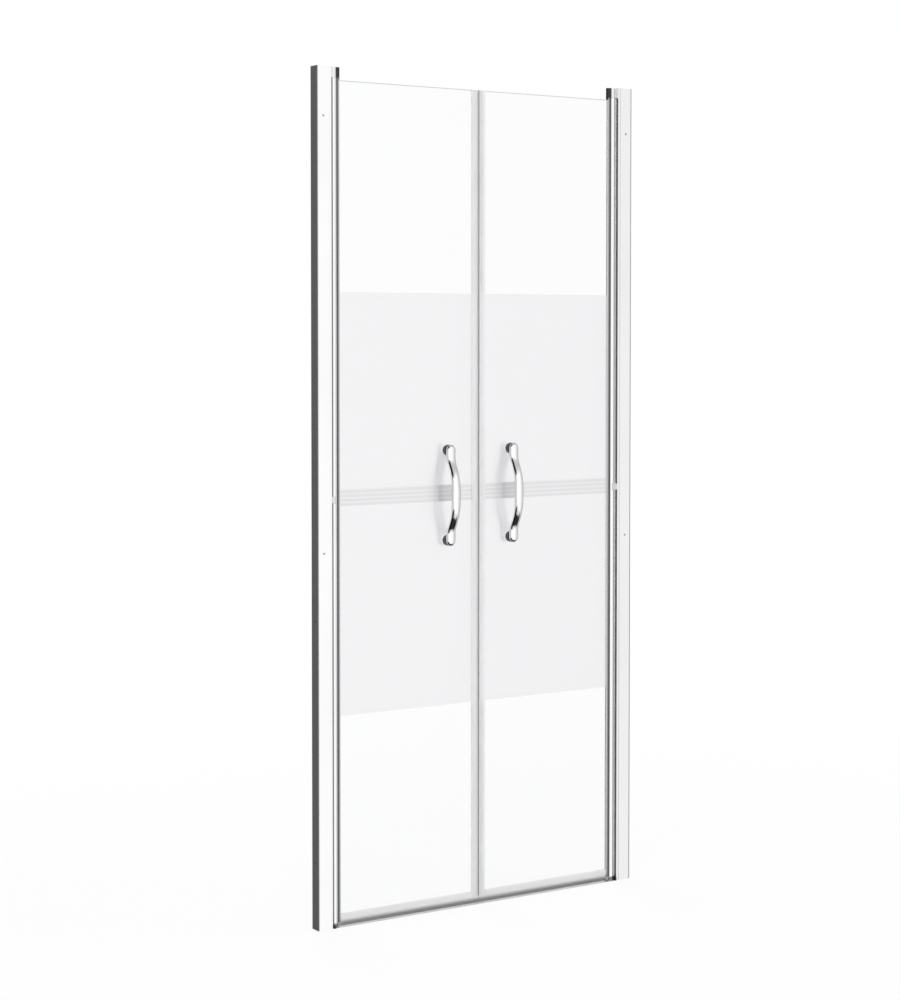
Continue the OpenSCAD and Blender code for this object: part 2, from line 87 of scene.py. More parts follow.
def tint(name, description, default):
    """Colour that a user may change, in linear values."""
    return bpy.props.FloatVectorProperty(
        name=name, description=description, default=default, min=0, max=1, size=3, subtype="COLOR")


class ShowerDoorHandleSizes(bpy.types.PropertyGroup):
    """Sizes of the cast handles"""

    sleeve_radius: size("Sleeve radius", "Radius of the sleeves on the posts", 12.7 * MM)
    sleeve_length: size("Sleeve length", "From the washer to the sleeve's end", 12.5 * MM)
    sleeve_edge: size("Sleeve edge", "Rounding of the sleeve's ends", 1.2 * MM)
    post_length: size("Post length", "From the washer to the middle of the round end", 15.5 * MM)
    bulb_radius: size("End radius", "Radius of the round ends along the bar", BULB_RADIUS)
    bulb_half: size("End width", "Half the width of the round ends", 11.7 * MM)
    bulb_thick: size("End thickness", "Half the thickness of the round ends", 6.2 * MM)
    spacing: size("Post spacing", "Distance between the posts", POST_SPACING)
    neck_offset: size("Neck offset", "From a post to the narrowest place of the bar", 40 * MM)
    neck_half: size("Neck width", "Half the width of the bar at its necks", 10.0 * MM)
    middle_half: size("Middle width", "Half the width of the bar at its middle", 11.6 * MM)
    middle_thick: size("Middle thickness", "Half the thickness of the bar at its middle", 6.5 * MM)
    level_end: number("Level end", "Share of the way to a post after which the bar runs level", 0.88)
    fullness: number("Fullness", "How far out towards the posts the bow stays full", 1.75)
    rings: bpy.props.IntProperty(name="Rings", description="Rings along the bar", default=144, min=24)
    sides: bpy.props.IntProperty(name="Sides", description="Points round the bar", default=48, min=12)


class ShowerDoorFinish(bpy.types.PropertyGroup):
    """Colours and gloss of the materials"""

    aluminium: tint("Aluminium", "Polished aluminium of the profiles", (0.955, 0.955, 0.96))
    aluminium_rough: share("Aluminium roughness", "Roughness of the profiles", 0.12)
    chrome: tint("Chrome", "Chrome of the handles", (0.96, 0.96, 0.965))
    chrome_rough: share("Chrome roughness", "Roughness of the handles", 0.045)
    # Painted reflection: a black edge tint gives the chrome dark rims, for dark surroundings that it mirrors
    chrome_dark_rim: tint("Chrome edge", "Colour of the chrome seen at a very flat angle", (0.0, 0.0, 0.0))
    zinc: tint("Zinc", "Bright castings: top brackets and middle knuckles", (0.92, 0.92, 0.925))
    steel: tint("Steel", "Middle pins, studs and screws", (0.72, 0.72, 0.73))
    black: tint("Black plastic", "Top caps and feet", (0.012, 0.012, 0.013))
    pivot: tint("Grey plastic", "Bottom pivots and the bosses of the feet", (0.38, 0.38, 0.385))
    sleeve: tint("Sleeve", "Dark sleeves and washers of the outer handles", (0.026, 0.026, 0.028))
    nylon: tint("Nylon", "Top pivots and the bushes of the middle pins", (0.86, 0.86, 0.85))
    clear_seal: tint("Clear seal", "Clear seals, and sleeves and washers inside", (0.97, 0.97, 0.975))
    grey_seal: tint("Grey seal", "Seals of the gaps beside the leaves", (0.78, 0.78, 0.79))
    dark_seal: tint("Glazing seal", "Strips that hold the glass", (0.58, 0.58, 0.585))
    magnet: tint("Magnet", "Magnet strips", (0.05, 0.05, 0.055))
    # Painted shade on the leaf profile: dark over the jaws, paler beside the glass, and grey on the round
    # back in the groove
    jaw_shade: tint("Jaw strip", "Soft dark strip over the jaws", (0.06, 0.06, 0.063))
    jaw_shade_width: size("Jaw strip width", "Width of the strip over the jaws", 7.6 * MM)
    jaw_shade_tip: tint("Jaw tip", "Paler edge of that strip beside the glass", (0.27, 0.27, 0.275))
    jaw_shade_tip_width: size("Jaw tip width", "Width of its paler edge", 2.8 * MM)
    back_shade: tint("Back strip", "Soft grey strip on the round back, in the groove", (0.26, 0.26, 0.265))
    back_shade_width: size("Back strip width", "How far that strip comes forward over the round back", 3.8 * MM)
    # Painted shade: the wall profile's face and lip beside the wall are painted dark and matt, for the dark
    # that they mirror
    dark_lip: tint("Lip", "Dull face and lip of the wall profile beside the wall", (0.108, 0.107, 0.111))
    dark_lip_width: size("Lip width", "From the wall to where the metal starts to dull", 4.2 * MM)
    foot_bar: size("Foot bar", "Width of the foot's black cross bar beside the jamb", 7 * MM)


class ShowerDoorGlass(bpy.types.PropertyGroup):
    """Frosted bands and colours of the glass"""

    frost_low: size("Frost low", "Lower edge of the frosted band above the tray", 469 * MM)
    frost_high: size("Frost high", "Upper edge of the frosted band above the tray", 1408 * MM)
    stripe_low: size("Stripes low", "Lower edge of the lined band above the tray", 935 * MM)
    stripe_high: size("Stripes high", "Upper edge of the lined band above the tray", 973 * MM)
    stripe_pitch: size("Stripe pitch", "Distance from line to line", 9.5 * MM)
    stripe_width: size("Stripe width", "Height of one line", 6.3 * MM)
    clear: tint("Clear glass", "Colour of the clear glass", (0.975, 0.978, 0.978))
    frost: tint("Frost", "Colour of the frosted glass", (0.662, 0.655, 0.664))
    stripe: tint("Stripe", "Colour of the lines", (0.565, 0.562, 0.57))
    between: tint("Between", "Colour between the lines", (0.612, 0.608, 0.616))
    # Painted glow: the frosted face gives out a little light of itself
    scatter: tint("Scatter", "Light that the frosted face scatters of itself", (0.135, 0.134, 0.136))
    # Painted shadow of the handles: the lines are painted darker in a band round each handle
    handle_shadow_from: size("Dense from", "Inner edge of the denser lines, from the middle of the door", 66 * MM)
    handle_shadow_to: size("Dense to", "Outer edge of the denser lines, from the middle of the door", 109 * MM)
    handle_shadow: share("Density", "How much darker the lines are round the handles", 0.22)
    edge: tint("Edge", "Colour of the ground edge at the top", (0.62, 0.64, 0.64))
    edge_width: size("Edge width", "Width of the ground edge at the top", 2.2 * MM)
    frost_rough: share("Frost roughness", "Roughness of the frosted face", 0.52)


class ShowerDoorStudio(bpy.types.PropertyGroup):
    """Camera, floor and light"""

    eye: bpy.props.FloatVectorProperty(
        name="Eye", description="Place of the camera", default=(-2.7335, -4.1281, 1.3172), unit="LENGTH",
        subtype="XYZ")
    turn: angle("Turn", "Turn of the camera from +Y towards +X", 32.767)
    dip: angle("Dip", "Tilt of the camera below the horizon", 2.037)
    lens: number("Lens", "Focal length in millimetres", 77.6)
    shift: number("Shift", "Upright shift of the picture", -0.09)
    white: share("White", "Tone of the background", 1.0)
    ambient: share("Ambient", "Light from all round on matt surfaces", 0.62)
    floor: tint("Floor", "Colour of the floor", (0.80, 0.80, 0.80))
    floor_glow: share("Floor glow", "How much of the floor's look is plain background", 0.9)
    floor_reach: size("Floor reach", "Half the width of the floor", 14.0)
    metal_light: number("Light on metal", "Brightness of the white walls that metal mirrors", 1.04)


def colour(value, level=1.0):
    """Colour with alpha from three numbers, or a grey from one, made darker or lighter by a level."""
    channels = value if hasattr(value, "__len__") else (value, value, value)
    return (*(level * channel for channel in channels), 1.0)


class Value:
    """One output of a node tree. Python maths on it adds the Math nodes."""

    def __init__(self, tree, socket):
        self.tree = tree
        self.socket = socket

    def math(self, operation, *others):
        """Result of a Math node on this value, and on the others after it."""
        return self.tree.add("ShaderNodeMath", {"operation": operation}, (self, *others))

    def __add__(self, other):
        return self.math("ADD", other)

    def __sub__(self, other):
        return self.math("SUBTRACT", other)

    def __rsub__(self, other):
        return self.tree.add("ShaderNodeMath", {"operation": "SUBTRACT"}, (other, self))

    def __mul__(self, other):
        return self.math("MULTIPLY", other)

    def __truediv__(self, other):
        return self.math("DIVIDE", other)

    __radd__ = __add__
    __rmul__ = __mul__

    def axis(self, name):
        """Coordinate X, Y or Z of a point or a direction."""
        return self.tree.add("ShaderNodeSeparateXYZ", inputs=(self,), output=name)

    def rise(self, start, end):
        """Smooth rise from 0 at start to 1 at end, and flat outside."""
        return self.tree.add(
            "ShaderNodeMapRange", {"interpolation_type": "SMOOTHSTEP"}, (self, start, end, 0.0, 1.0))

    def band(self, low, high, soft):
        """1 between low and high, with edges as wide as soft, and 0 outside."""
        return self.rise(low - soft / 2, low + soft / 2) * (1 - self.rise(high - soft / 2, high + soft / 2))


class Tree:
    """Emptied node tree of a material or of the world, with one method that adds a node."""

    def __init__(self, owner):
        owner.use_nodes = True
        self.nodes = owner.node_tree.nodes
        self.links = owner.node_tree.links
        self.nodes.clear()

    def add(self, kind, settings=None, inputs=(), output=0):
        """Adds a node, sets its settings and then its inputs, and gives one of its outputs."""
        node = self.nodes.new(kind)
        for name, value in (settings or {}).items():
            setattr(node, name, value)
        pairs = inputs.items() if isinstance(inputs, dict) else enumerate(inputs)
        for key, value in pairs:
            if isinstance(value, Value):
                self.links.new(value.socket, node.inputs[key])
            else:
                node.inputs[key].default_value = value
        return Value(self, node.outputs[output]) if node.outputs else node

    def mix(self, factor, low, high):
        """Colour from low at 0 to high at 1."""
        return self.add("ShaderNodeMix", {"data_type": "RGBA"}, {0: factor, 6: low, 7: high}, 2)

    def place(self):
        """The point on the piece."""
        return self.add("ShaderNodeTexCoord", output="Object")

    def noise(self, point, scale, detail=2.0):
        """Noise from 0 to 1 on a point stretched by one scale or three, each one over a length in metres."""
        scales = scale if isinstance(scale, tuple) else (scale, scale, scale)
        stretched = self.add("ShaderNodeMapping", inputs={"Vector": point, "Scale": scales})
        return self.add("ShaderNodeTexNoise", inputs={"Vector": stretched, "Scale": 1.0, "Detail": detail})

    def bump(self, height, distance, strength=1.0):
        """Normal of a relief whose height of 1 is distance metres."""
        sockets = {"Height": height, "Distance": distance, "Strength": strength}
        return self.add("ShaderNodeBump", inputs=sockets)

    def ray(self, kind):
        """1 for one kind of ray, such as Glossy, and 0 for the others."""
        return self.add("ShaderNodeLightPath", output=f"Is {kind} Ray")

    def seen(self):
        """1 for what the eye sees straight or through glass, and 0 for light and mirrored pictures."""
        return self.ray("Camera").math("MAXIMUM", self.ray("Transmission"))


def material(name, build):
    """New material whose shader is made by build, which gives the Principled shader's inputs by name."""
    made = bpy.data.materials.new(name)
    tree = Tree(made)
    shader = tree.add("ShaderNodeBsdfPrincipled", inputs=build(tree))
    tree.add("ShaderNodeOutputMaterial", inputs={"Surface": shader})
    return made


def dress(made, *names):
    """Gives a material to CAD nodes, each named without its side."""
    for key, node in NODES.items():
        if key.removeprefix("left_").removeprefix("right_") in names:
            node.data.materials.clear()
            node.data.materials.append(made)


def streaks(along, length, width):
    """Scales of a noise whose streaks lie along one axis, from the length and the width of a streak."""
    return tuple(1 / (length if axis == along else width) for axis in "xyz")


def extruded_metal(base, rough, along, streak=0.035, trim=None):
    """Polished extrusion: fine die lines along one axis, and a faint cloudiness over a hand's width.

    A trim function adds painted shade to a profile. It takes the tree and the distance from the middle of
    the door, and gives how bare the metal is from 0 to 1, and the painted colour over the rest.
    """
    def build(tree):
        point = tree.place()
        lines = tree.noise(point, streaks(along, length=0.35, width=0.5 * MM), 3.0)
        cloud = tree.noise(point, (9.0, 9.0, 5.0))
        metal = tree.mix((cloud - 0.35) * 1.6, colour(base), colour(base, 0.955))
        polish = rough + (lines - 0.5) * streak + (cloud - 0.5) * 0.03
        inputs = {"Base Color": metal, "Metallic": 1.0, "Roughness": polish,
                  "Normal": tree.bump(lines, 0.004 * MM)}
        if trim:
            bare, painted_colour = trim(tree, point.axis("X").math("ABSOLUTE"))
            dull = 0.4 + (lines - 0.5) * 0.1
            inputs["Base Color"] = tree.mix(bare, painted_colour, metal)
            inputs["Metallic"] = bare
            inputs["Roughness"] = polish * bare + dull * (1 - bare)
        return inputs
    return build


def leaf_shade(looks, tip, back):
    """Painted shade on the leaf profile: dark with a paler edge over the jaws, and grey on the round back,
    in the groove. The jaws' tips and the back lie at two given distances from the middle of the door."""
    jaw_end, jaw_tip_end = tip + looks.jaw_shade_width, tip + looks.jaw_shade_tip_width
    back_start = back - looks.back_shade_width

    def trim(tree, across):
        clear = across.rise(jaw_end - 0.2 * MM, jaw_end)
        behind = across.rise(back_start, back_start + 0.3 * MM)
        dark = across.rise(jaw_tip_end - 0.3 * MM, jaw_tip_end + 0.3 * MM)
        strip = tree.mix(dark, colour(looks.jaw_shade_tip), colour(looks.jaw_shade))
        return clear * (1 - behind), tree.mix(behind, strip, colour(looks.back_shade))
    return trim


def wall_shade(looks, end):
    """Painted shade on the wall profile's lip: the metal fades into a dark matt colour over its last
    millimetres at the wall.
    """
    def trim(tree, across):
        return 1 - across.rise(end - looks.dark_lip_width, end - 0.8 * MM), colour(looks.dark_lip)
    return trim


def chrome(base, rough, edge):
    """Chrome on a polished casting: faint waviness from the polishing wheel, a breath of dust, and rims
    darkened by the edge tint as a painted reflection.
    """
    def build(tree):
        point = tree.place()
        wave = tree.noise(point, (90.0, 90.0, 40.0))
        dust = tree.noise(point, 2600.0, 1.0).rise(0.66, 0.74)
        return {
            "Base Color": tree.mix(dust, colour(base), colour(base, 0.9)),
            "Metallic": 1.0,
            "Roughness": rough + dust * 0.12,
            "Normal": tree.bump(wave, 0.02 * MM, 0.6),
            # Painted reflection: the edge tint darkens the rims
            "Specular Tint": colour(edge),
        }
    return build


def cast_metal(base, rough):
    """Bright casting with a fine orange peel."""
    def build(tree):
        peel = tree.noise(tree.place(), 1500.0, 3.0)
        return {
            "Base Color": tree.mix(peel, colour(base), colour(base, 0.93)),
            "Metallic": 1.0,
            "Roughness": rough + (peel - 0.5) * 0.1,
            "Normal": tree.bump(peel, 0.02 * MM),
        }
    return build


def turned_steel(base, rough):
    """Turned or drawn steel: fine rings along the height, with a little grey staining."""
    def build(tree):
        point = tree.place()
        rings = tree.noise(point, (60.0, 900.0, 4000.0))
        stain = tree.noise(point, 120.0)
        return {
            "Base Color": tree.mix(stain, colour(base), colour(base, 0.85)),
            "Metallic": 1.0,
            "Roughness": rough + (rings - 0.5) * 0.12,
            "Normal": tree.bump(rings, 0.006 * MM),
        }
    return build


def moulded(base, rough, grain=0.03, soft=0.0, part=None):
    """Injection moulding: fine spark grain, slow shade changes, and glow inside the pale ones.

    A part of another colour is a function that takes the point on the piece, and gives where the part
    is, from 0 to 1, and its colour.
    """
    def build(tree):
        point = tree.place()
        spark = tree.noise(point, 3200.0)
        flow = tree.noise(point, (160.0, 160.0, 90.0))
        paler = [min(1.0, channel * 1.12 + 0.004) for channel in base]
        body = tree.mix(flow, colour(base), colour(paler))
        if part:
            here, other = part(point)
            body = tree.mix(here, body, colour(other))
        return {
            "Base Color": body,
            "Roughness": rough + (spark - 0.5) * 0.18,
            "Normal": tree.bump(spark, grain * MM, 0.7),
            "Subsurface Weight": soft,
            "Subsurface Scale": 0.001,
            "Specular IOR Level": 0.45,
        }
    return build


def extruded_seal(base, rough, along, see_through=0.0, magnet_and_gap_shade=None, dark_lip=None, seal_glow=0.0):
    """Soft extruded strip: shallow drawing lines along its length, a milky body and a painted glow.

    Within a given distance of the middle it is painted darker: partly the dark magnet that shows through,
    partly painted shade in the gap between the leaves. A sweep darkens down to its lip between two
    heights. The glow is a painted glow: the body gives out a little light of itself.
    """
    def build(tree):
        point = tree.place()
        lines = tree.noise(point, streaks(along, length=0.4, width=1.6 * MM), 1.0)
        body = tree.mix(lines, colour(base), colour(base, 0.9))
        if magnet_and_gap_shade:
            # Painted darkening near the middle: partly the dark magnet that shows through, partly painted
            # shade in the gap between the leaves
            away = point.axis("X").math("ABSOLUTE").rise(0.6 * magnet_and_gap_shade, magnet_and_gap_shade)
            body = tree.mix(away, colour(base, 0.25), body)
        if dark_lip:
            body = tree.mix(point.axis("Z").rise(*dark_lip), colour(base, 0.3), body)
        return {
            "Base Color": body,
            "Roughness": rough + (lines - 0.5) * 0.12,
            "Normal": tree.bump(lines, 0.03 * MM, 0.6),
            "Transmission Weight": see_through,
            "IOR": 1.5,
            "Specular IOR Level": 0.4,
            # Painted glow: the body gives out a little light of itself
            "Emission Color": colour(seal_glow),
            "Emission Strength": 1.0,
        }
    return build


def magnet_strip(base):
    """Magnet strip: dull, with the poles' fine bars across it."""
    def build(tree):
        point = tree.place()
        bars = (point.axis("Z") * (2 * math.pi / (2.2 * MM))).math("SINE")
        grain = tree.noise(point, 2500.0)
        return {
            "Base Color": tree.mix(grain, colour(base), colour(base, 1.4)),
            "Roughness": 0.62 + (grain - 0.5) * 0.2,
            "Normal": tree.bump(bars * 0.5 + grain * 0.3, 0.02 * MM),
        }
    return build


def pane(sizes, top):
    """Safety glass: clear, with one face frosted in a wide band, dull lines across that band, and a
    ground edge at the top. Round each handle the lines are painted darker, as a painted shadow of the
    handle, and the frosted face has a painted glow."""
    def build(tree):
        point = tree.place()
        x, y, z = (point.axis(name) for name in "XYZ")
        sharp = 0.8 * MM
        inside = y.rise(0.0, 0.5 * MM)
        frosted = z.band(sizes.frost_low, sizes.frost_high, sharp)
        lined = z.band(sizes.stripe_low, sizes.stripe_high, sharp)
        within = ((z - sizes.stripe_low) / sizes.stripe_pitch).math("FRACT") * sizes.stripe_pitch
        line = within.band(sharp / 2, sizes.stripe_width, sharp) * lined
        # Painted shadow of each handle on the lines, as a darker band round it
        handle_shadow = x.math("ABSOLUTE").band(sizes.handle_shadow_from, sizes.handle_shadow_to, 12 * MM) * lined * sizes.handle_shadow
        ground = z.rise(top - sizes.edge_width, top - sizes.edge_width / 2)
        cloud = tree.noise(point, (7.0, 7.0, 5.0))
        etch = tree.noise(point, 1800.0, 1.0)
        body = tree.mix(frosted, colour(sizes.clear), colour(sizes.frost))
        body = tree.mix(lined, body, colour(sizes.between))
        body = tree.mix(line, body, colour(sizes.stripe))
        body = tree.mix(handle_shadow, body, colour(0.0))
        body = tree.mix(ground, body, colour(sizes.edge))
        dull = sizes.frost_rough + line * 0.15 + (cloud - 0.5) * 0.02 + (etch - 0.5) * 0.03
        return {
            "Base Color": body,
            "Roughness": dull * frosted * inside + ground * 0.3,
            "Normal": tree.bump(etch * frosted * inside, 0.004 * MM, 0.5),
            "Transmission Weight": 1.0,
            "IOR": 1.5,
            # Painted glow of the frosted face, left out where the handles' painted shadow lies
            "Emission Color": tree.mix(frosted * (1 - handle_shadow), colour(0.0), colour(sizes.scatter)),
            "Emission Strength": 1.0,
        }
    return build


def smooth_mesh(name, points, made):
    """Closed surface from a grid of points, one row along and one ring round, whose end rings are poles."""
    rows, ring = points.shape[:2]
    index = np.arange(rows * ring).reshape(rows, ring)
    after = np.roll(index, -1, axis=1)
    quads = np.stack([index[:-1], after[:-1], after[1:], index[1:]], axis=-1).reshape(-1, 4)
    mesh = bpy.data.meshes.new(name)
    mesh.from_pydata(points.reshape(-1, 3).tolist(), [], quads.tolist())
    mesh.materials.append(made)
    weld(mesh)
    return mesh


def weld(mesh):
    """Merges doubled points, turns the faces outwards and shades them smooth but for sharp edges."""
    work = bmesh.new()
    work.from_mesh(mesh)
    bmesh.ops.remove_doubles(work, verts=work.verts, dist=SAME_PLACE)
    bmesh.ops.dissolve_degenerate(work, dist=SAME_PLACE, edges=work.edges)
    bmesh.ops.recalc_face_normals(work, faces=work.faces)
    work.to_mesh(mesh)
    work.free()
    mesh.shade_smooth()
    mesh.set_sharp_from_angle(angle=SHARP_ANGLE)


def ease(t):
    """Smooth rise from 0 to 1: half of one less the cosine of t half turns."""
    return (1 - np.cos(np.pi * np.clip(t, 0, 1))) / 2


def bar_points(sizes):
    """Rings of the bowed bar, from tip to tip.

    At height z from its middle the ring is an ellipse of a half width and a half thickness. Its centre
    stands out from the washer by the post's length and by the bow times half of one plus the cosine of
    half turns, whose number is z's share of the way to where the bar runs level, to the power of the
    fullness. The width eases from the middle to the neck, and from there to the round end, which it
    reaches at 0.85 of the way to the post. The thickness eases from the middle to the neck. Past the
    post both shrink as the root of 1 - (distance / radius) squared, which closes the end as half an
    ellipsoid.
    """
    half = sizes.spacing / 2
    neck = half - sizes.neck_offset
    z = ((half + sizes.bulb_radius) * np.sin(np.linspace(-np.pi / 2, np.pi / 2, sizes.rings)))[:, None]
    up = np.abs(z)
    closing = np.sqrt(np.clip(1 - (np.maximum(up - half, 0) / sizes.bulb_radius) ** 2, 0, 1))
    inner, outer = ease(up / neck), ease((up - neck) / (0.85 * sizes.neck_offset))
    width = closing * np.where(
        up > neck, sizes.neck_half + (sizes.bulb_half - sizes.neck_half) * outer,
        sizes.middle_half + (sizes.neck_half - sizes.middle_half) * inner)
    thick = closing * (sizes.middle_thick + (sizes.bulb_thick - sizes.middle_thick) * inner)
    way = np.clip(up / (half * sizes.level_end), 0, 1) ** sizes.fullness
    bow = HANDLE_DEPTH - sizes.post_length - sizes.middle_thick
    out = sizes.post_length + bow * (1 - ease(way))
    turn = np.linspace(0, 2 * np.pi, sizes.sides, endpoint=False)[None, :]
    return np.stack([width * np.cos(turn), -out + thick * np.sin(turn), z + 0 * turn], axis=-1)


def sleeve_points(sizes, height):
    """Rings of a sleeve along Y, from end to end: a profile of radius and depth whose two edges are
    quarter circles, turned round the axis of the post at a height."""
    radius, length, edge = sizes.sleeve_radius, sizes.sleeve_length, sizes.sleeve_edge
    curve = np.linspace(0, np.pi / 2, 7)
    ring = radius - edge + edge * np.concatenate([np.sin(curve), np.cos(curve)])
    depth = np.concatenate([edge - edge * np.cos(curve), length - edge + edge * np.sin(curve)])
    ring, depth = np.concatenate([[0], ring, [0]])[:, None], np.concatenate([[0], depth, [length]])[:, None]
    turn = np.linspace(0, 2 * np.pi, 2 * sizes.sides, endpoint=False)[None, :]
    return np.stack([ring * np.cos(turn), -depth + 0 * turn, height + ring * np.sin(turn)], axis=-1)


def new_piece(name, mesh, body, slot, *replaced):
    """Object for a mesh that rides on a body and stands for CAD nodes."""
    piece = bpy.data.objects.new(name, mesh)
    bpy.context.scene.collection.objects.link(piece)
    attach(piece, body)
    if replaced:
        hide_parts(*replaced)
    return piece


class SHOWERDOOR_OT_profiles(bpy.types.Operator):
    """Finish of the extruded profiles and of the threshold"""

    bl_idname = "shower_door.profiles"
    bl_label = "Profiles"

    def execute(self, context):
        looks = context.scene.shower_door_finish
        base, rough = looks.aluminium, looks.aluminium_rough
        back, tip = (-corner.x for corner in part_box("left_leaf_profile"))
        end = -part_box("left_wall_profile")[0].x
        # The leaf and wall profiles carry painted shade from their trims
        leaf = extruded_metal(base, rough, along="z", trim=leaf_shade(looks, tip, back))
        wall = extruded_metal(base, rough, along="z", trim=wall_shade(looks, end))
        dress(material("polished_aluminium", extruded_metal(base, rough, along="z")), "frame_profile")
        dress(material("wall_aluminium", wall), "wall_profile")
        dress(material("leaf_aluminium", leaf), "leaf_profile")
        dress(material("threshold_aluminium", extruded_metal(base, rough + 0.12, along="x")), "threshold")
        return {"FINISHED"}


class SHOWERDOOR_OT_hinges(bpy.types.Operator):
    """Finish of the brackets, knuckles, pins, screws, feet and caps"""

    bl_idname = "shower_door.hinges"
    bl_label = "Hinges and fittings"

    def execute(self, context):
        looks = context.scene.shower_door_finish
        steel = turned_steel(looks.steel, rough=0.24)
        nylon = moulded(looks.nylon, rough=0.38, soft=0.15)
        bar = -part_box("left_frame_profile")[1].x - looks.foot_bar

        def boss(point):
            away = point.axis("X").math("ABSOLUTE")
            return 1 - away.rise(bar - 0.1 * MM, bar + 0.1 * MM), looks.pivot

        dress(material("bright_zinc", cast_metal(looks.zinc, rough=0.26)), "top_bracket", "middle_knuckle")
        dress(material("steel", steel), "fixing_screws", "middle_pin", "handle_studs")
        dress(material("white_nylon", nylon), "middle_bushes", "top_pivot")
        dress(material("black_plastic", moulded(looks.black, rough=0.36)), "top_cap")
        dress(material("foot_plastic", moulded(looks.black, rough=0.36, part=boss)), "foot")
        dress(material("grey_plastic", moulded(looks.pivot, rough=0.42)), "bottom_pivot")
        return {"FINISHED"}


class SHOWERDOOR_OT_glass(bpy.types.Operator):
    """Clear and frosted glass"""

    bl_idname = "shower_door.glass"
    bl_label = "Glass"

    def execute(self, context):
        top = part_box("left_glass")[1].z
        dress(material("frosted_glass", pane(context.scene.shower_door_glass, top)), "glass")
        # The lamps shine through the panes, as they do through real glass
        for side in SIDES:
            NODES[f"{side}_glass"].visible_shadow = False
        return {"FINISHED"}


class SHOWERDOOR_OT_seals(bpy.types.Operator):
    """Finish of the seals, gaskets, washers and magnets"""

    bl_idname = "shower_door.seals"
    bl_label = "Seals"

    def execute(self, context):
        looks = context.scene.shower_door_finish
        clear = looks.clear_seal
        # Near the middle the meeting edge is painted darker: partly the magnet seen through, partly painted
        # shade in the gap
        magnet_and_gap_shade, dark_lip = 0.85 * MM, (4 * MM, 17 * MM)
        # The last values give the clear seals a painted glow
        edge = extruded_seal(clear, rough=0.34, along="z", see_through=0.8, magnet_and_gap_shade=magnet_and_gap_shade, seal_glow=0.05)
        sweep = extruded_seal(clear, rough=0.34, along="x", see_through=0.4, dark_lip=dark_lip, seal_glow=0.035)
        gap = extruded_seal(looks.grey_seal, rough=0.45, along="z")
        glazing = extruded_seal(looks.dark_seal, rough=0.5, along="z")

        def outside(point):
            return 1 - point.axis("Y").rise(-0.1 * MM, 0.1 * MM), looks.sleeve

        dress(material("clear_pvc", edge), "magnetic_seal")
        dress(material("clear_sweep", sweep), "bottom_seal")
        dress(material("grey_pvc", gap), "gap_seals")
        dress(material("dark_pvc", glazing), "glazing_gaskets")
        dress(material("magnet", magnet_strip(looks.magnet)), "magnet")
        dress(material("washer", moulded(clear, rough=0.4, part=outside)), "handle_bushes")
        return {"FINISHED"}


class SHOWERDOOR_OT_handles(bpy.types.Operator):
    """The four cast handles, each a bowed bar, and the sleeves of their posts: dark outside, pale inside"""

    bl_idname = "shower_door.handles"
    bl_label = "Handles"

    def execute(self, context):
        sizes = context.scene.shower_door_handle
        looks = context.scene.shower_door_finish
        bright = material("chrome", chrome(looks.chrome, looks.chrome_rough, looks.chrome_dark_rim))
        dark = material("outer_sleeve", moulded(looks.sleeve, rough=0.3))
        pale = material("inner_sleeve", moulded(looks.clear_seal, rough=0.4))
        bar = bar_points(sizes)
        sleeves = {name: sleeve_points(sizes, end * sizes.spacing / 2)
                   for name, end in (("lower", -1), ("upper", 1))}
        faces = (("outer", 1, dark, "black_plastic"), ("inner", -1, pale, "clear_pvc"))
        for side in SIDES:
            for face, out, plastic, slot in faces:
                node, body = f"{side}_{face}_handle", f"{side}_leaf"
                low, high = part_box(node)
                middle = (low + high) / 2
                seat = (middle.x, high.y if out > 0 else low.y, middle.z)
                cast = smooth_mesh(f"{node}_cast", bar * (1, out, 1) + seat, bright)
                new_piece(f"{node}_cast", cast, body, "chrome", node)
                for end, points in sleeves.items():
                    name = f"{node}_{end}_sleeve"
                    new_piece(name, smooth_mesh(name, points * (1, out, 1) + seat, plastic), body, slot)
        return {"FINISHED"}


# Grey cards that metal mirrors: from and to in degrees from -Y towards +X, from and to in degrees above
# the horizon, width of the soft edges in degrees, and how much of the light they take, from 0 to 1
CARDS = (
    (-178, -118, -90, 90, 14, 0.90),
    (-112, -40, -90, 90, 12, 0.50),
    (49, 150, -90, 90, 17, 0.35),
    (33, 44, -20, 20, 3, 0.12),
    (-180, 180, 34, 120, 22, 0.46),
    (-180, -58, 14, 120, 9, 0.97),
    (-62, -14, 26, 120, 9, 0.95),
    (-180, -14, -120, -20, 9, 0.92),
    (-180, 180, -120, -31, 8, 0.28),
    (-180, 180, -120, -43, 8, 0.96),
    (45, 180, -120, -35, 7, 0.90),
)


def studio_world(studio):
    """World that is plain white to the eye and through glass, an even light on matt surfaces, and for
    metal a white room with soft grey cards, each a band of directions."""
    world = bpy.data.worlds.new("studio")
    bpy.context.scene.world = world
    tree = Tree(world)
    direction = tree.add("ShaderNodeTexCoord", output="Generated")
    x, y, z = (direction.axis(name) for name in "XYZ")
    degree = 180 / math.pi
    around = x.math("ARCTAN2", 0 - y) * degree
    above = z.math("ARCSINE") * degree
    mirrored = studio.metal_light
    for start, end, low, high, soft, depth in CARDS:
        mirrored = mirrored * (1 - around.band(start, end, soft) * above.band(low, high, soft) * depth)
    lit = tree.mix(tree.ray("Glossy"), colour(studio.ambient), mirrored)
    shown = tree.mix(tree.seen(), lit, colour(studio.white))
    background = tree.add("ShaderNodeBackground", inputs={"Color": shown, "Strength": 1.0})
    tree.add("ShaderNodeOutputWorld", inputs={"Surface": background})


